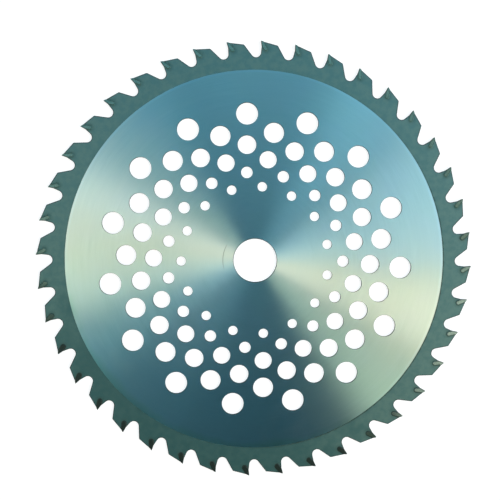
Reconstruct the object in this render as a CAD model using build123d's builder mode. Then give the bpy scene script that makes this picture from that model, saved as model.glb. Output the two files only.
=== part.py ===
"""Carbide-tipped brush cutter blade: a flat steel plate with forty brazed cutting tips.

Millimetres and degrees. The origin is the centre of the arbor hole, halfway through the plate.
+Z runs along the arbor. Seen from +Z the blade cuts anticlockwise, and tooth 1 points along +X.
"""

from build123d import *
import os
from math import cos, radians, sin, tan

# Driving dimensions: the whole blade
cutting_diameter = 255.0
arbor_hole_diameter = 25.4
plate_thickness = 1.4
tooth_count = 40

# The two faces are ground bright, out to this diameter and down by this depth
ground_diameter = 221.5
ground_depth = 0.02

# The lightening holes stand on straight rows that pass beside the arbor's centre.
# Each ring has one hole on every second row, and the next ring uses the rows between.
holes_per_ring = 15
row_offset = 5.05
first_row_angle = 7.3
hole_reaches = (43.0, 51.4, 59.1, 67.5, 75.1, 85.5)
hole_diameters = (5.6, 6.8, 10.1, 10.9, 11.8, 12.8)

# A carbide tip: a bar with a round foot, laid back in its slot and ground at the cutting edge
cutting_width = 2.2
tip_thickness = 2.2
tip_lean = 33.0
tip_face_length = 3.0
tip_side_length = 2.75
hook_angle = 8.0
tip_relief_angle = 19.0
tip_side_clearance = 1.5
braze_gap = 0.1

# The steel behind and in front of a tip
land_drop = 0.55
land_relief_angle = 13.5
heel_radius = 0.6
gullet_depth = 9.6
gullet_radius = 2.9
gullet_front_angle = 5.0
gullet_back_angle = 39.0

# Derived values
cutting_radius = cutting_diameter / 2
tooth_pitch = 360 / tooth_count
row_pitch = 180 / holes_per_ring
slot_radius = tip_thickness / 2 + braze_gap


def heading(angle):
    """Unit vector at an angle, anticlockwise from +X."""
    return Vector(cos(radians(angle)), sin(radians(angle)))


def meet(point_1, heading_1, point_2, heading_2):
    """Point where the line through point_1 crosses the line through point_2."""
    across = Vector(-heading_2.Y, heading_2.X)
    distance = (point_2 - point_1).dot(across) / heading_1.dot(across)
    return point_1 + heading_1 * distance


def turned(vector, tooth):
    """A vector of tooth 1 carried round to another tooth."""
    return vector.rotate(Axis.Z, tooth * tooth_pitch)


def tooth_plane(tooth, height):
    """Plane of a tooth's own profile: its x runs out through the cutting edge."""
    return Plane(origin=(0, 0, height), x_dir=heading(tooth * tooth_pitch), z_dir=(0, 0, 1))


# Profile of tooth 1: x runs outwards and y forwards, the way the blade turns
cutting_edge = Vector(cutting_radius, 0)
down_face = heading(180 + hook_angle)
down_slot = heading(180 + tip_lean)
down_relief = heading(270 - tip_relief_angle)
down_land = heading(270 - land_relief_angle)
across_slot = heading(tip_lean - 90)

# Tip: front corner, straight side, round foot, back corner
tip_front = cutting_edge + down_face * tip_face_length
tip_foot_front = tip_front + down_slot * tip_side_length
foot_centre = tip_foot_front + across_slot * (tip_thickness / 2)
tip_foot_back = foot_centre + across_slot * (tip_thickness / 2)
tip_back = meet(tip_foot_back, down_slot, cutting_edge, down_relief)

# Slot: the tip's shape, wider by the braze gap on every side
slot_foot_front = foot_centre - across_slot * slot_radius
slot_foot_back = foot_centre + across_slot * slot_radius
slot_front = meet(slot_foot_front, down_slot, cutting_edge, down_face)
slot_back = meet(slot_foot_back, down_slot, cutting_edge - Vector(land_drop, 0), heading(90))
braze_back = meet(tip_foot_back, down_slot, slot_back, down_land)

# Gullet in front of the tooth: straight wall, round bottom, slope up to the heel of the tooth ahead
down_wall = heading(180 - gullet_front_angle)
up_slope = heading(gullet_back_angle)
off_wall = heading(90 - gullet_front_angle)
off_slope = heading(gullet_back_angle + 90)
bottom_centre_x = cutting_radius - gullet_depth + gullet_radius
wall_length = (slot_front.X + gullet_radius * off_wall.X - bottom_centre_x) / cos(radians(gullet_front_angle))
wall_foot = slot_front + down_wall * wall_length
slope_foot = wall_foot + off_wall * gullet_radius + off_slope * gullet_radius
heel_ahead = meet(slope_foot, up_slope, turned(slot_back, 1), turned(down_land, 1))


# ---------------------------------------------------------------- blade body
with BuildPart() as blade_body:
    with BuildSketch(Plane.XY.offset(-plate_thickness / 2)):
        with BuildLine():
            for tooth in range(tooth_count):
                Line(turned(wall_foot, tooth), turned(slot_front, tooth))
                Line(turned(slot_front, tooth), turned(slot_foot_front, tooth))
                TangentArc(
                    turned(slot_foot_front, tooth),
                    turned(slot_foot_back, tooth),
                    tangent=turned(down_slot, tooth),
                )
                Line(turned(slot_foot_back, tooth), turned(slot_back, tooth))
                FilletPolyline(
                    turned(slot_back, tooth),
                    turned(heel_ahead, tooth - 1),
                    turned(slope_foot, tooth - 1),
                    radius=heel_radius,
                )
                TangentArc(
                    turned(slope_foot, tooth - 1),
                    turned(wall_foot, tooth - 1),
                    tangent=turned(up_slope * -1, tooth - 1),
                )
        make_face()
        Circle(arbor_hole_diameter / 2, mode=Mode.SUBTRACT)
        for ring, (reach, diameter) in enumerate(zip(hole_reaches, hole_diameters)):
            with PolarLocations(0, holes_per_ring, start_angle=first_row_angle + ring * row_pitch):
                with Locations((reach, row_offset)):
                    Circle(diameter / 2, mode=Mode.SUBTRACT)
    extrude(amount=plate_thickness)

    # The ground zone lies a little lower than the rim on both faces
    for face_plane in (Plane.XY, Plane.XY.rotated((180, 0, 0))):
        with BuildSketch(face_plane.offset(plate_thickness / 2)):
            Circle(ground_diameter / 2)
        extrude(amount=-ground_depth, mode=Mode.SUBTRACT)


# ------------------------------------------------------------- carbide tips
def clearance_plane(tooth, side):
    """Side face of a tip, which narrows from the cutting edge inwards and backwards."""
    outward = heading(tooth * tooth_pitch)
    forward = heading(tooth * tooth_pitch + 90)
    slope = tan(radians(tip_side_clearance))
    edge_end = outward * cutting_radius + Vector(0, 0, side * cutting_width / 2)
    return Plane(origin=edge_end, z_dir=Vector(0, 0, side) - (outward + forward) * slope)


carbide_tips = []
for tooth in range(tooth_count):
    with BuildPart() as carbide_tip:
        with BuildSketch(tooth_plane(tooth, -cutting_width / 2)):
            with BuildLine():
                Polyline(tip_foot_back, tip_back, cutting_edge, tip_front, tip_foot_front)
                TangentArc(tip_foot_front, tip_foot_back, tangent=down_slot)
            make_face()
        extrude(amount=cutting_width)
        for side in (1, -1):
            split(bisect_by=clearance_plane(tooth, side), keep=Keep.BOTTOM)
    carbide_tip.part.label = f"carbide_tip_{tooth + 1:02d}"
    carbide_tips.append(carbide_tip.part)


# ------------------------------------------------------------- braze joints
with BuildPart() as braze_joints:
    for tooth in range(tooth_count):
        with BuildSketch(tooth_plane(tooth, -plate_thickness / 2)):
            with BuildLine():
                Polyline(tip_foot_front, tip_front, slot_front, slot_foot_front)
                TangentArc(slot_foot_front, slot_foot_back, tangent=down_slot)
                Polyline(slot_foot_back, slot_back, braze_back, tip_foot_back)
                TangentArc(tip_foot_front, tip_foot_back, tangent=down_slot)
            make_face()
    extrude(amount=plate_thickness)


# -------------------------------------------------------------------- export
os.makedirs("parts", exist_ok=True)
blade_body.part.label = "blade_body"
braze_joints.part.label = "braze_joints"
export_step(blade_body.part, "parts/blade_body.step")
export_step(braze_joints.part, "parts/braze_joints.step")
for tip in carbide_tips:
    export_step(tip, f"parts/{tip.label}.step")
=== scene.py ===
from math import cos, pi, radians, sin, tan

import bmesh
import bpy
from mathutils import Matrix, Vector, noise


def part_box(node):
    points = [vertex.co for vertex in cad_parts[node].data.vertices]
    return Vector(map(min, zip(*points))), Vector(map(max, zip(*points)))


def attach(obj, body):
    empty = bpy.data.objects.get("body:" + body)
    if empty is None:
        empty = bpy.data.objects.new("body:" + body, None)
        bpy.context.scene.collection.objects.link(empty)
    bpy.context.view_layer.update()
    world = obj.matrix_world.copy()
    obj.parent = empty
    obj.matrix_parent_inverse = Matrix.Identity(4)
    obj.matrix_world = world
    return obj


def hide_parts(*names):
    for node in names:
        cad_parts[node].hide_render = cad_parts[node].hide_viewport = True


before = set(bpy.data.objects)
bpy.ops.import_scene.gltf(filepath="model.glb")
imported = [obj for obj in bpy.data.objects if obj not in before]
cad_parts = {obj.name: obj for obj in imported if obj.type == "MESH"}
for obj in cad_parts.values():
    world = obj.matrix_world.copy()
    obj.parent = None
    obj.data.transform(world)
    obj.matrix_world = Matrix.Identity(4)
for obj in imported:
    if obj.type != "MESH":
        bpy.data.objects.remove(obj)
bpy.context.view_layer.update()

# ------------------------------------------------------------------ sizes
# Millimetres and degrees. What the CAD fixes is read from its nodes' boxes.
MM = 0.001
tooth_count = 40
tooth_pitch = 360 / tooth_count
cutting_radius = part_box("carbide_tip_01")[1][0] / MM
rim_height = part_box("blade_body")[1][2] / MM
tip_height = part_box("carbide_tip_01")[1][2] / MM

bore_radius = 12.7
ground_radius = 110.75
ground_depth = 0.02
ground_height = rim_height - ground_depth

holes_per_ring = 15
row_offset = 5.05
first_row_angle = 7.3
row_pitch = 180 / holes_per_ring
hole_reaches = (43.0, 51.4, 59.1, 67.5, 75.1, 85.5)
hole_diameters = (5.6, 6.8, 10.1, 10.9, 11.8, 12.8)

tip_thickness = 2.2
tip_lean = 33.0
tip_face_length = 3.0
tip_side_length = 2.75
hook_angle = 8.0
braze_gap = 0.1
slot_radius = tip_thickness / 2 + braze_gap

land_drop = 0.55
land_relief_angle = 13.5
heel_radius = 0.6
gullet_depth = 9.6
gullet_radius = 2.9
gullet_front_angle = 5.0
gullet_back_angle = 39.0

# Broken edges, and the ring scribed round the bore
rim_edge_width = 0.42
rim_edge_drop = 0.08
hole_edge_width = 0.14
hole_edge_drop = 0.08
bore_edge_width = 0.3
bore_edge_drop = 0.15
scribe_radius = 18.9
scribe_half_width = 0.12
scribe_depth = 0.025

# Braze bead round each tip: outline from the tip's middle line, and its runs
bead_profile = (
    (1.08, -0.84), (1.17, -0.78), (1.32, -0.72), (1.55, -0.69), (1.55, -0.6), (1.195, -0.5),
    (1.195, 0.5), (1.55, 0.6), (1.55, 0.69), (1.32, 0.72), (1.17, 0.78), (1.08, 0.84),
)
bead_run = 4.6
bead_run_steps = 8
bead_end_gap = 0.03
bead_lump_height = 0.05
bead_lump_scale = 1.3
bead_lump_seed = 5

# Steps round each curve
hole_steps = 48
bore_steps = 120
ring_steps = 360
slot_steps = 12
gullet_steps = 12
heel_steps = 4

# Meshing limits
merge_distance = 0.001
flat_normal = 0.9999    # a face whose normal is at least this far up or down is flat
border_margin = 1.0     # less than this outside the ground zone's border still belongs to it


# ---------------------------------------------------------- tooth geometry
def heading(angle):
    """Unit vector at an angle, anticlockwise from +X."""
    return Vector((cos(radians(angle)), sin(radians(angle)), 0))


def meet(point_1, heading_1, point_2, heading_2):
    """Point where the line through point_1 crosses the line through point_2."""
    across = Vector((-heading_2.y, heading_2.x, 0))
    return point_1 + heading_1 * ((point_2 - point_1).dot(across) / heading_1.dot(across))


def turn(angle):
    """Turn about the arbor."""
    return Matrix.Rotation(radians(angle), 3, "Z")


# Tooth 1 has its cutting edge on +X, and its face looks anticlockwise
cutting_edge = Vector((cutting_radius, 0, 0))
down_face = heading(180 + hook_angle)
down_slot = heading(180 + tip_lean)
down_land = heading(270 - land_relief_angle)
across_slot = heading(tip_lean - 90)
off_face = heading(90 + hook_angle)
off_land = heading(-land_relief_angle)

tip_front = cutting_edge + down_face * tip_face_length
foot_centre = tip_front + down_slot * tip_side_length + across_slot * (tip_thickness / 2)
slot_foot_front = foot_centre - across_slot * slot_radius
slot_foot_back = foot_centre + across_slot * slot_radius
slot_front = meet(slot_foot_front, down_slot, cutting_edge, down_face)
land_front = cutting_edge - Vector((land_drop, 0, 0))
slot_back = meet(slot_foot_back, down_slot, land_front, heading(90))

down_wall = heading(180 - gullet_front_angle)
up_slope = heading(gullet_back_angle)
off_wall = heading(90 - gullet_front_angle)
off_slope = heading(gullet_back_angle + 90)
gullet_centre_x = cutting_radius - gullet_depth + gullet_radius
wall_reach = slot_front.x + gullet_radius * off_wall.x - gullet_centre_x
wall_foot = slot_front + down_wall * (wall_reach / cos(radians(gullet_front_angle)))
gullet_centre = wall_foot + off_wall * gullet_radius
slope_foot = gullet_centre + off_slope * gullet_radius
gullet_turn = 180 - gullet_back_angle - gullet_front_angle

one_behind = turn(-tooth_pitch)
heel = meet(one_behind @ slope_foot, one_behind @ up_slope, slot_back, down_land)
heel_turn = 90 + tooth_pitch - land_relief_angle - gullet_back_angle
heel_start = heel - down_land * (heel_radius * tan(radians(heel_turn / 2)))
heel_centre = heel_start + heading(180 - land_relief_angle) * heel_radius


# ----------------------------------------------------------- mesh helpers
def only(items, kind):
    return [item for item in items if isinstance(item, kind)]


class Wire:
    """A line of edges drawn from point to point, as straight runs and arcs."""

    def __init__(self, bm, start):
        self.bm = bm
        self.end = bm.verts.new(start)

    def to(self, point):
        self.end = bmesh.ops.extrude_vert_indiv(self.bm, verts=[self.end])["verts"][0]
        self.end.co = point

    def arc(self, centre, angle, steps):
        made = bmesh.ops.spin(
            self.bm, geom=[self.end], cent=centre, axis=(0, 0, 1),
            angle=radians(angle), steps=steps,
        )
        self.end = only(made["geom_last"], bmesh.types.BMVert)[0]


def everything(bm):
    return bm.verts[:] + bm.edges[:] + bm.faces[:]


def circle(bm, radius, height, steps, centre=Vector()):
    """Edges of a circle."""
    place = Matrix.Translation((centre.x, centre.y, height))
    verts = bmesh.ops.create_circle(bm, radius=radius, segments=steps, matrix=place)["verts"]
    return list(dict.fromkeys(edge for vert in verts for edge in vert.link_edges))


def extrude(bm, loop):
    """Extrude a loop of edges; gives the new vertices, the new loop and the faces between."""
    made = bmesh.ops.extrude_edge_only(bm, edges=loop)["geom"]
    verts = only(made, bmesh.types.BMVert)
    new = set(verts)
    edges = [edge for edge in only(made, bmesh.types.BMEdge) if set(edge.verts) <= new]
    return verts, edges, only(made, bmesh.types.BMFace)


def pull(bm, loop, slot, height, scale=1.0, centre=Vector()):
    """Extrude a loop to another height, scaled about its centre; gives the new loop."""
    verts, loop, faces = extrude(bm, loop)
    bmesh.ops.scale(bm, vec=(scale, scale, 1), space=Matrix.Translation(-centre), verts=verts)
    for vert in verts:
        vert.co.z = height
    for face in faces:
        face.material_index = slot
    return loop


def run_on(bm, loop, direction):
    """Extrude a loop straight on for a bead's length, in steps; gives the last loop."""
    for _ in range(bead_run_steps):
        verts, loop, _ = extrude(bm, loop)
        bmesh.ops.translate(bm, vec=direction * (bead_run / bead_run_steps), verts=verts)
    return loop


def fill(bm, edges, slot):
    """Fill the area between loops of edges with faces."""
    made = bmesh.ops.triangle_fill(bm, edges=edges, use_beauty=True, normal=(0, 0, 1))["geom"]
    faces = only(made, bmesh.types.BMFace)
    for face in faces:
        face.material_index = slot
    return faces


def break_edges(bm, faces, width, slot):
    """Set a narrow band inside every border of the faces; gives the band."""
    made = bmesh.ops.inset_region(
        bm, faces=faces, thickness=width, use_even_offset=True, use_boundary=True
    )
    for face in made["faces"]:
        face.material_index = slot
    return made["faces"]


def repeat_round(bm):
    """Copy what is there, one tooth's worth, to every tooth."""
    bmesh.ops.spin(
        bm, geom=everything(bm), cent=(0, 0, 0), axis=(0, 0, 1),
        angle=radians(360 - tooth_pitch), steps=tooth_count - 1, use_duplicate=True,
    )


def finish_piece(bm, name, materials, sharp_above=30):
    """Make the bmesh, in millimetres, an object in metres; a flat face stays flat to its edge."""
    bmesh.ops.recalc_face_normals(bm, faces=bm.faces)
    bmesh.ops.scale(bm, vec=(MM, MM, MM), verts=bm.verts)
    for face in bm.faces:
        face.smooth = True
    for edge in bm.edges:
        flat = {abs(face.normal.z) > flat_normal for face in edge.link_faces}
        edge.smooth = len(flat) == 1 and edge.calc_face_angle(0) < radians(sharp_above)
    mesh = bpy.data.meshes.new(name)
    bm.to_mesh(mesh)
    bm.free()
    piece = bpy.data.objects.new(name, mesh)
    bpy.context.scene.collection.objects.link(piece)
    for material in materials:
        mesh.materials.append(material)
    return piece


# ------------------------------------------------------------ shader maths
class Value:
    """A shader socket that takes part in arithmetic: each operator adds its Math node."""

    def __init__(self, finish, socket):
        self.finish = finish
        self.socket = socket

    def math(self, operation, *others):
        return self.finish.node("ShaderNodeMath", {"operation": operation}, [self, *others])

    def output(self, key):
        """Another output of the same node, by place or by name."""
        return Value(self.finish, self.socket.node.outputs[key])

    def __add__(self, other):
        return self.math("ADD", other)

    def __sub__(self, other):
        return self.math("SUBTRACT", other)

    def __mul__(self, other):
        return self.math("MULTIPLY", other)

    def __truediv__(self, other):
        return self.math("DIVIDE", other)

    __radd__ = __add__
    __rmul__ = __mul__


def vary(value, pattern, swing):
    """A value that swings with a pattern of 0 to 1, by half the swing either way."""
    return value + (pattern - 0.5) * swing


class Finish:
    """The node tree of a material, or of the world."""

    def __init__(self, name, kind=bpy.data.materials):
        self.made = kind.new(name)
        self.made.use_nodes = True
        self.tree = self.made.node_tree
        self.tree.nodes.clear()

    def node(self, kind, settings=None, sockets=()):
        """Add a node: its settings, then its inputs' values or links, by place or by name."""
        made = self.tree.nodes.new(kind)
        for setting, value in (settings or {}).items():
            setattr(made, setting, value)
        pairs = sockets.items() if isinstance(sockets, dict) else enumerate(sockets)
        for key, value in pairs:
            if isinstance(value, Value):
                self.tree.links.new(value.socket, made.inputs[key])
            else:
                made.inputs[key].default_value = value
        return Value(self, made.outputs[0] if made.outputs else None)

    def surface(self, **sockets):
        """The Principled shader and the output; gives the material."""
        named = {key.replace("_", " "): value for key, value in sockets.items()}
        shader = self.node("ShaderNodeBsdfPrincipled", None, named)
        self.node("ShaderNodeOutputMaterial", None, [shader])
        return self.made

    def place(self):
        """Object coordinates in millimetres: x, y and z, and the distance from the arbor."""
        where = self.node("ShaderNodeTexCoord").output("Object")
        split = self.node("ShaderNodeSeparateXYZ", None, [where])
        x, y, z = [split.output(axis) / MM for axis in "XYZ"]
        return x, y, z, (x * x + y * y).math("SQRT")

    def vector(self, x, y, z):
        return self.node("ShaderNodeCombineXYZ", None, [x, y, z])

    def noise(self, vector, scale=1.0, detail=2.0, roughness=0.5):
        """Noise from 0 to 1."""
        return self.node("ShaderNodeTexNoise", None, {
            "Vector": vector, "Scale": scale, "Detail": detail, "Roughness": roughness,
        })

    def rings(self, across, along, detail=2.0, roughness=0.5):
        """Noise drawn out into streaks round the arbor: how fine across them and along them."""
        x, y, _, reach = self.place()
        vector = self.vector(reach * across, x / reach * along, y / reach * along)
        return self.noise(vector, detail=detail, roughness=roughness)

    def ramp(self, value, low, high, to_low=0.0, to_high=1.0):
        """A smooth step of value between low and high."""
        return self.node(
            "ShaderNodeMapRange", {"interpolation_type": "SMOOTHSTEP"},
            [value, low, high, to_low, to_high],
        )

    def mix(self, factor, first, second):
        """A mix of two colours, each a socket or three numbers."""
        first, second = (
            color if isinstance(color, Value) else (*color, 1) for color in (first, second)
        )
        made = self.node("ShaderNodeMix", {"data_type": "RGBA"}, {0: factor, 6: first, 7: second})
        return made.output(2)

    def bump(self, height, strength, distance):
        """A bump whose height is in millimetres times distance."""
        return self.node(
            "ShaderNodeBump", None,
            {"Height": height, "Strength": strength, "Distance": distance * MM},
        )

    def near(self, side, start, full, away=0.0, close=1.0, ragged=0.6):
        """From away to close as the cosine of the angle from a side goes from start to full."""
        x, y, z, reach = self.place()
        patch = self.noise(self.vector(x, y, z), scale=0.09, detail=1.0)
        cosine = (x * cos(radians(side)) + y * sin(radians(side))) / reach
        return self.ramp(vary(cosine, patch, ragged), start, full, away, close)

    def tip_places(self):
        """For the nearest tooth: distance out from the tip's seat, and behind the tip's face."""
        x, y, _, reach = self.place()
        pitch, lead = radians(tooth_pitch), radians(tooth_zone_lead)
        turned = (y.math("ARCTAN2", x) - lead).math("FLOORED_MODULO", pitch) + (lead - pitch)
        near_x = turned.math("COSINE") * reach
        near_y = turned.math("SINE") * reach

        def distance(start, direction):
            return (near_x - start.x) * direction.x + (near_y - start.y) * direction.y

        across = distance(foot_centre, across_slot)
        below = distance(foot_centre, -down_slot).math("MINIMUM", 0.0)
        out = (across * across + below * below).math("SQRT") - tip_thickness / 2
        return out, distance(cutting_edge, -off_face)


# ---------------------------------------------------------------- finishes
# Directions from the arbor, in degrees
key_lamp_side = -25    # towards the key lamps: painted highlight on the tips, painted shade at the beads and along the border
painted_shade_side = 249    # painted shade on the steel, the tips and the beads
scribe_mark_side = 176  # where the scribed ring has a dark mark

# How far round from a side each mark reaches, most of them painted highlight or painted shade:
# cosines where it starts and where it is full
tip_highlight_reach = (0.87, 0.98)
bead_near_key = (0.72, 0.88)
zone_near_key = (0.3, 0.8)
tooth_shaded = (0.25, 0.65)
rim_shaded = (0.4, 0.85)
ground_shaded = (0.72, 0.94)
band_shaded = (0.5, 0.9)
border_pale = (0.2, 0.7)
scribe_marked = (0.90, 0.99)

# Distances in millimetres; radii are taken from the arbor
shade_radii = (45, 95)
shade_band_width = 5
shade_band_overlap = 1
shade_band_wander = 8
border_width = 1.2
border_blur = 0.4
bore_highlight_radii = (15, 60)
rough_radii = (15, 70)
scribe_mark_half_width = 0.3
seam_span = (0.3, 1.0)
seam_wander = 1.6
heat_width = 2.6
heat_wander = 1.6
tip_face_mark = (0.2, 0.7)
tip_seat_mark = (-0.5, -0.05)
tip_mark_wander = 0.8
tint_shift = 40
tooth_zone_lead = 2.5   # degrees ahead of a cutting edge where the next tooth's zone ends

# How strong each mark is, where 1 hides what is under it
cloud_strength = 0.5
ground_shade_strength = 0.5
shade_band_strength = 0.75
bore_highlight_strength = 0.7
scribe_strength = 0.6
border_strengths = (0.1, 0.45)
border_highlight_gain = 0.15
rim_shade_strength = 0.55
heat_strength = 0.45
seam_shadow_strengths = (0.1, 0.85)
scuff_strength = 0.8
mark_and_shade_strength = 0.7
tip_shade_gain = 0.2
bead_shade_strength = 0.6
bead_side_shade_strength = 0.9

middle = (0.35, 0.65)   # where most of a noise lies
fine_share = 0.6        # of fine streaks in the ground steel; the rest is broad ones
rough_levels = (0.392, 0.375)
bore_highlight_sides = (0.7, 1.0)   # sines of the angle from the Y axis, where the painted highlight shows

# Colours, as linear red, green and blue
streak_dark, streak_light = (0.382, 0.540, 0.520), (0.445, 0.603, 0.580)
tint_color = (0.425, 0.552, 0.555)
cloud_color = (0.425, 0.570, 0.520)
ground_shade = (0.20, 0.44, 0.48)
shade_band_color = (0.24, 0.46, 0.36)
bore_highlight_color = (0.50, 0.66, 0.64)
scribe_mark = (0.10, 0.16, 0.16)
border_color = (0.47, 0.65, 0.67)
oxide_dark, oxide_light = (0.063, 0.145, 0.137), (0.086, 0.168, 0.151)
rim_shade = (0.018, 0.085, 0.088)
heat_color = (0.030, 0.075, 0.060)
seam_shadow_color = (0.030, 0.062, 0.056)
scale_dark, scale_light = (0.010, 0.020, 0.020), (0.030, 0.050, 0.046)
scuff_color = (0.052, 0.110, 0.105)
carbide_dark, carbide_light = (0.098, 0.166, 0.128), (0.152, 0.222, 0.176)
tip_highlight_dark, tip_highlight_light = (0.24, 0.35, 0.31), (0.40, 0.52, 0.46)
tip_mark_and_shade = (0.014, 0.024, 0.022)
braze_dark, braze_light = (0.042, 0.118, 0.100), (0.080, 0.160, 0.140)
bead_shade = (0.030, 0.050, 0.042)
bead_side_shade = (0.012, 0.020, 0.018)


def make_ground_steel():
    """Steel ground in rings, with painted shade and a darker painted-shade band inside the border
    towards one side, and a painted highlight beside the bore.
    """
    f = Finish("ground_steel")
    x, y, z, reach = f.place()
    fine = f.rings(across=3.2, along=9, detail=3.0, roughness=0.6)
    broad = f.rings(across=0.45, along=3)
    streak = fine * fine_share + broad * (1 - fine_share)
    cloud = f.noise(f.vector(x, y, z), scale=0.035, detail=3.0, roughness=0.55)
    tint = f.noise(f.vector(x, y, z + tint_shift), scale=0.045)
    base = f.mix(f.ramp(streak, 0.3, 0.7), streak_dark, streak_light)
    base = f.mix(f.ramp(tint, *middle, to_high=cloud_strength), base, tint_color)
    base = f.mix(f.ramp(cloud, *middle, to_high=cloud_strength), base, cloud_color)

    # Painted shade: the steel is darker towards one side
    shaded = f.near(painted_shade_side, *ground_shaded, ragged=0.2)
    shaded = shaded * f.ramp(reach, *shade_radii, to_high=ground_shade_strength)
    base = f.mix(shaded, base, ground_shade)
    # Painted shade: a darker band inside the border, towards the painted-shade side
    ragged_reach = vary(reach, cloud, shade_band_wander)
    shade_band = f.ramp(ragged_reach, ground_radius - shade_band_width, ground_radius + shade_band_overlap)
    shade_band = shade_band * f.near(painted_shade_side, *band_shaded, close=shade_band_strength)
    base = f.mix(shade_band, base, shade_band_color)
    # Painted highlight: lighter steel near the bore, to its left and right
    bore_highlight = f.ramp(reach, *bore_highlight_radii, 1.0, 0.0)
    bore_highlight = bore_highlight * f.ramp((x / reach).math("ABSOLUTE"), *bore_highlight_sides)
    base = f.mix(bore_highlight * bore_highlight_strength, base, bore_highlight_color)

    off_scribe = (reach - scribe_radius).math("ABSOLUTE")
    scribe = f.ramp(off_scribe, scribe_half_width, scribe_mark_half_width, 1.0, 0.0)
    marked = f.near(scribe_mark_side, *scribe_marked, close=scribe_strength, ragged=0.1)
    base = f.mix(scribe * marked, base, scribe_mark)
    # A pale band inside the border: partly a burnished edge, partly painted highlight, stronger
    # towards the key lamps and gone on the painted-shade side
    border_start = ground_radius - border_width
    border = f.ramp(reach, border_start - border_blur, border_start)
    border = border * f.near(painted_shade_side, *border_pale, away=1.0, close=0.0)
    strength = f.ramp(cloud, 0.3, 0.6, *border_strengths)
    strength = strength + f.near(key_lamp_side, *zone_near_key) * border_highlight_gain
    base = f.mix(border * strength, base, border_color)
    rough = vary(f.ramp(reach, *rough_radii, *rough_levels), streak, 0.15)
    return f.surface(
        Base_Color=base, Metallic=1.0, Roughness=rough, Anisotropic=0.9,
        Anisotropic_Rotation=0.25, Normal=f.bump(fine, strength=0.25, distance=0.004),
    )


def make_rim_steel():
    """Dull oxidised steel, darker round the tips, with a painted shadow along the ground zone's
    border and painted shade towards one side.
    """
    f = Finish("rim_steel")
    x, y, z, reach = f.place()
    out, _ = f.tip_places()
    mottle = f.noise(f.vector(x, y, z), scale=0.28, detail=4.0, roughness=0.62)
    grain = f.noise(f.vector(x, y, z), scale=2.6)
    base = f.mix(f.ramp(mottle, 0.35, 0.66), oxide_dark, oxide_light)
    # Painted shade: the rim is darker towards one side
    base = f.mix(f.near(painted_shade_side, *rim_shaded) * rim_shade_strength, base, rim_shade)
    heat = f.ramp(vary(out, mottle, heat_wander), 0.0, heat_width, 1.0, 0.0)
    base = f.mix(heat * heat_strength, base, heat_color)
    # Painted shadow: a dark line just outside the ground zone's border, strongest towards the key
    # lamps
    start, end = (ground_radius + width for width in seam_span)
    seam_shadow = f.ramp(vary(reach, mottle, seam_wander), start, end, 1.0, 0.0)
    seam_shadow = seam_shadow * f.near(key_lamp_side, *zone_near_key, *seam_shadow_strengths)
    base = f.mix(seam_shadow, base, seam_shadow_color)
    rough = vary(vary(0.50, mottle, 0.2), grain, 0.12)
    return f.surface(
        Base_Color=base, Metallic=0.45, Roughness=rough,
        Normal=f.bump(grain, strength=0.3, distance=0.01),
    )


def make_cut_steel():
    """Dark scale on the cut walls and broken edges, scuffed here and there."""
    f = Finish("cut_steel")
    x, y, z, _ = f.place()
    scale = f.noise(f.vector(x, y, z * 0.2), scale=1.4, detail=3.0)
    scuff = f.noise(f.vector(x, y, z), scale=0.5, detail=3.0, roughness=0.65)
    base = f.mix(f.ramp(scale, *middle), scale_dark, scale_light)
    base = f.mix(f.ramp(scuff, 0.45, 0.62, to_high=scuff_strength), base, scuff_color)
    return f.surface(
        Base_Color=base, Roughness=vary(0.62, scale, 0.3), Specular_IOR_Level=0.1,
        Normal=f.bump(scale + scuff, strength=0.4, distance=0.02),
    )


def make_carbide():
    """Ground carbide, darker at its face and its seat, with a painted highlight on the tips
    towards the key lamps and painted shade on those towards the other side.
    """
    f = Finish("carbide")
    x, y, z, reach = f.place()
    out, behind = f.tip_places()
    lines = f.noise(f.vector(x * 0.25 + y * 0.1, reach * 5.0, z * 4.0))
    grain = f.noise(f.vector(x, y, z), scale=2.2, detail=3.0, roughness=0.6)
    lined = f.ramp(lines, *middle)
    base = f.mix(lined, carbide_dark, carbide_light)
    # Painted highlight: lighter tips towards the key lamps
    tip_highlight = f.near(key_lamp_side, *tip_highlight_reach, ragged=0.1)
    base = f.mix(tip_highlight, base, f.mix(lined, tip_highlight_dark, tip_highlight_light))
    # Dark marks at the tip's face and seat, and painted shade on the tips towards the
    # painted-shade side
    at_face = f.ramp(behind, *tip_face_mark, 1.0, 0.0)
    at_seat = f.ramp(vary(out, grain, tip_mark_wander), *tip_seat_mark)
    shaded = f.near(painted_shade_side, *tooth_shaded)
    mark_and_shade = shaded.math("MAXIMUM", at_face.math("MAXIMUM", at_seat))
    base = f.mix(mark_and_shade * (mark_and_shade_strength + shaded * tip_shade_gain), base, tip_mark_and_shade)
    return f.surface(
        Base_Color=base, Metallic=0.8, Roughness=vary(0.36, grain, 0.3) + mark_and_shade * 0.15,
        Normal=f.bump(lines + grain, strength=0.4, distance=0.01),
    )


def make_braze():
    """Dull lumpy silver solder, with painted shade beside the tips painted lightest and beside
    those on the painted-shade side.
    """
    f = Finish("silver_braze")
    x, y, z, _ = f.place()
    lumps = f.noise(f.vector(x, y, z), scale=1.1, detail=3.0, roughness=0.6)
    base = f.mix(f.ramp(lumps, 0.38, 0.66), braze_dark, braze_light)
    # Painted shade: darker beads towards the key lamps, and darker still towards the
    # painted-shade side
    base = f.mix(f.near(key_lamp_side, *bead_near_key) * bead_shade_strength, base, bead_shade)
    base = f.mix(f.near(painted_shade_side, *tooth_shaded) * bead_side_shade_strength, base, bead_side_shade)
    return f.surface(
        Base_Color=base, Metallic=0.45, Roughness=vary(0.5, lumps, 0.4),
        Normal=f.bump(lumps, strength=0.3, distance=0.04),
    )


ground_steel = make_ground_steel()
rim_steel = make_rim_steel()
cut_steel = make_cut_steel()
carbide = make_carbide()
braze = make_braze()


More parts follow.
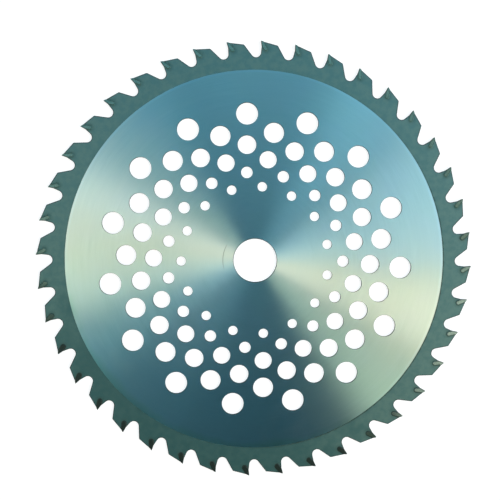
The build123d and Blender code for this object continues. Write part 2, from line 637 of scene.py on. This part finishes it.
# -------------------------------------------------------------- blade body
blade_materials = (ground_steel, rim_steel, cut_steel)
ground, rim, cut = range(len(blade_materials))


def draw_rim(bm):
    """The toothed outline, filled in to the ground zone's border, with its edges broken."""
    wire = Wire(bm, wall_foot)
    wire.to(slot_front)
    wire.to(slot_foot_front)
    wire.arc(foot_centre, 180, slot_steps)
    wire.to(slot_back)
    wire.to(heel_start)
    wire.arc(heel_centre, -heel_turn, heel_steps)
    wire.to(one_behind @ slope_foot)
    wire.arc(one_behind @ gullet_centre, gullet_turn, gullet_steps)
    repeat_round(bm)
    bmesh.ops.remove_doubles(bm, verts=bm.verts, dist=merge_distance)
    for vert in bm.verts:
        vert.co.z = rim_height
    outline = bm.edges[:]
    faces = fill(bm, outline + circle(bm, ground_radius, rim_height, ring_steps), rim)
    for face in break_edges(bm, faces, rim_edge_width, cut):
        if face.calc_center_median().xy.length < ground_radius + border_margin:
            face.material_index = rim
    for vert in bm.verts:
        if vert.is_boundary and vert.co.xy.length > ground_radius + border_margin:
            vert.co.z -= rim_edge_drop


def draw_ground_zone(bm):
    """The ground zone, down to its holes, its scribed ring and its bore."""
    border = circle(bm, ground_radius, ground_height, ring_steps)
    scribe = circle(bm, scribe_radius + scribe_half_width, ground_height, bore_steps)
    holes = []
    for row, (reach, diameter) in enumerate(zip(hole_reaches, hole_diameters)):
        radius = diameter / 2
        for number in range(holes_per_ring):
            place = turn(first_row_angle + row * row_pitch + number * 360 / holes_per_ring)
            centre = place @ Vector((reach, row_offset, 0))
            loop = circle(bm, radius + hole_edge_width, ground_height, hole_steps, centre)
            holes.append((loop, radius, centre))
    fill(bm, border + scribe + sum((loop for loop, _, _ in holes), []), ground)
    pull(bm, border, cut, rim_height)
    for loop, radius, centre in holes:
        scale = radius / (radius + hole_edge_width)
        pull(bm, loop, cut, ground_height - hole_edge_drop, scale, centre)
    rings = (
        (scribe_radius, ground_height - scribe_depth, ground),
        (scribe_radius - scribe_half_width, ground_height, ground),
        (bore_radius + bore_edge_width, ground_height, ground),
        (bore_radius, ground_height - bore_edge_drop, cut),
    )
    loop, outer = scribe, scribe_radius + scribe_half_width
    for inner, height, slot in rings:
        loop = pull(bm, loop, slot, height, inner / outer)
        outer = inner


def make_blade():
    """The plate: the half above its middle plane is made, then mirrored."""
    bm = bmesh.new()
    draw_rim(bm)
    draw_ground_zone(bm)
    bmesh.ops.remove_doubles(bm, verts=bm.verts, dist=merge_distance)
    pull(bm, [edge for edge in bm.edges if edge.is_boundary], cut, 0)
    bmesh.ops.mirror(bm, geom=everything(bm), axis="Z", merge_dist=merge_distance)
    return finish_piece(bm, "blade_plate", blade_materials)


blade = make_blade()
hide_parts("blade_body")
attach(blade, "root")


# ------------------------------------------------------------- braze beads
def make_beads():
    """A bead of braze in the gap round each tip, with a fillet on both faces of the plate."""
    bm = bmesh.new()
    mouth = foot_centre - down_slot * bead_run
    points = [
        mouth - across_slot * reach + Vector((0, 0, height)) for reach, height in bead_profile
    ]
    wire = Wire(bm, points[0])
    first = wire.end
    for point in points[1:]:
        wire.to(point)
    loop = bm.edges[:] + bmesh.ops.contextual_create(bm, geom=[first, wire.end])["edges"]
    loop = run_on(bm, loop, down_slot)
    made = bmesh.ops.spin(
        bm, geom=loop, cent=foot_centre, axis=(0, 0, 1), angle=pi, steps=slot_steps
    )
    run_on(bm, only(made["geom_last"], bmesh.types.BMEdge), -down_slot)
    for point, outward in ((slot_front, off_face), (slot_back, off_land)):
        bmesh.ops.bisect_plane(
            bm, geom=everything(bm), plane_co=point - outward * bead_end_gap,
            plane_no=outward, clear_outer=True,
        )
    bmesh.ops.holes_fill(bm, edges=bm.edges, sides=0)
    repeat_round(bm)
    noise.seed_set(bead_lump_seed)
    for vert in bm.verts:
        if abs(vert.co.z) > ground_height:
            vert.co += noise.noise_vector(vert.co * bead_lump_scale) * bead_lump_height
    return finish_piece(bm, "braze_beads", [braze], sharp_above=60)


beads = make_beads()
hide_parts("braze_joints")
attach(beads, "root")

for number in range(1, tooth_count + 1):
    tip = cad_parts[f"carbide_tip_{number:02d}"]
    tip.data.materials.clear()
    tip.data.materials.append(carbide)

# ------------------------------------------------------------------ camera
camera_distance = 407.2
camera_lean = 2.591
camera_heading = 127.454
camera_up_heading = 91.492
camera_aim = Vector((-3.147, 6.007, 0))
lens_length = 50
sensor_width = 36


def place_camera():
    lean = radians(camera_lean)
    back = heading(camera_heading) * sin(lean) + Vector((0, 0, cos(lean)))
    up = heading(camera_up_heading)
    up.z = -up.dot(back) / back.z
    up.normalize()
    data = bpy.data.cameras.new("camera")
    data.lens = lens_length
    data.sensor_width = sensor_width
    camera = bpy.data.objects.new("camera", data)
    place = Matrix((up.cross(back), up, back)).transposed().to_4x4()
    place.translation = (camera_aim + back * camera_distance) * MM
    camera.matrix_world = place
    bpy.context.scene.collection.objects.link(camera)
    bpy.context.scene.camera = camera


place_camera()

# ------------------------------------------------------------ floor, light
# Metres and watts
floor_size = 4
floor_level = 0.85
floor_glow = 0.84
shadow_level = 0.28
wall_rise = (0.05, 0.30)
wall_color = (0.45, 0.45, 0.45)
ceiling_color = (0.006, 0.012, 0.014)
backdrop_color = (0.95, 0.95, 0.95)
lamps = (
    # name, azimuth, elevation, distance, width, height, power, colour
    ("right_low_key", 316, 35, 1.5, 0.4, 0.4, 5.2, (0.97, 1.00, 0.72)),
    ("right_key", 341, 50, 1.5, 0.4, 0.4, 5.9, (1.00, 0.79, 0.58)),
    ("left_high_key", 168, 62, 1.5, 0.3, 0.3, 2.25, (1.00, 0.82, 0.67)),
    ("left_key", 190, 50, 1.5, 0.4, 0.4, 3.85, (1.00, 0.84, 0.57)),
    ("left_fill", 205, 45, 1.5, 0.6, 0.6, 1.3, (0.10, 0.82, 1.00)),
    ("right_fill", 15, 40, 1.5, 0.8, 0.6, 11.8, (0.61, 0.83, 1.00)),
    ("upper_right_fill", 45, 60, 1.5, 0.3, 0.3, 1.85, (0.39, 0.76, 1.00)),
    ("upper_fill", 80, 60, 0.75, 0.4, 0.3, 0.72, (0.29, 0.71, 1.00)),
    ("upper_left_fill", 140, 60, 0.75, 0.4, 0.3, 0.68, (0.13, 0.61, 1.00)),
)


def gray(level):
    return (level, level, level, 1)


def floor_finish():
    """A matt pale floor, which shows as white, with the blade's shadow on it."""
    f = Finish("floor")
    path = f.node("ShaderNodeLightPath")
    seen = path.output("Is Camera Ray") + path.output("Is Glossy Ray")
    seen = seen + path.output("Is Transmission Ray")
    matt = f.node("ShaderNodeBsdfDiffuse", None, {"Color": gray(floor_level)})
    white = f.node("ShaderNodeEmission", None, {"Color": gray(1), "Strength": floor_glow})
    shade = f.node("ShaderNodeBsdfDiffuse", None, {"Color": gray(shadow_level)})
    shadowed = f.node("ShaderNodeAddShader", None, [white, shade])
    shader = f.node("ShaderNodeMixShader", None, [seen.math("MINIMUM", 1.0), matt, shadowed])
    f.node("ShaderNodeOutputMaterial", None, [shader])
    return f.made


def lay_floor():
    """A plain floor under the lowest face of the tips."""
    mesh = bpy.data.meshes.new("floor")
    bm = bmesh.new()
    place = Matrix.Translation((0, 0, -tip_height * MM))
    bmesh.ops.create_grid(bm, x_segments=1, y_segments=1, size=floor_size, matrix=place)
    bm.to_mesh(mesh)
    bm.free()
    mesh.materials.append(floor_finish())
    floor = bpy.data.objects.new("floor", mesh)
    bpy.context.scene.collection.objects.link(floor)
    return floor


floor = lay_floor()


def add_lamp(name, azimuth, elevation, distance, width, height, power, color):
    """A soft box that faces the blade's centre; its width runs level."""
    data = bpy.data.lights.new(name, "AREA")
    data.shape = "RECTANGLE"
    data.size = width
    data.size_y = height
    data.energy = power
    data.color = color
    lamp = bpy.data.objects.new(name, data)
    rise = radians(elevation)
    place = heading(azimuth) * cos(rise) + Vector((0, 0, sin(rise)))
    lamp.location = place * distance
    lamp.rotation_euler = place.to_track_quat("Z", "Y").to_euler()
    bpy.context.scene.collection.objects.link(lamp)


for settings in lamps:
    add_lamp(*settings)


def studio_world():
    """A dim room above pale walls, behind a white backdrop."""
    f = Finish("studio", bpy.data.worlds)
    toward = f.node("ShaderNodeTexCoord").output("Generated")
    rise = f.node("ShaderNodeSeparateXYZ", None, [toward]).output("Z")
    seen = f.node("ShaderNodeLightPath").output("Is Camera Ray")
    walls = f.mix(f.ramp(rise, *wall_rise), wall_color, ceiling_color)
    shader = f.node("ShaderNodeBackground", None, [f.mix(seen, walls, backdrop_color), 1.0])
    f.node("ShaderNodeOutputWorld", None, [shader])
    return f.made


bpy.context.scene.world = studio_world()
bpy.context.scene.view_settings.view_transform = "Standard"
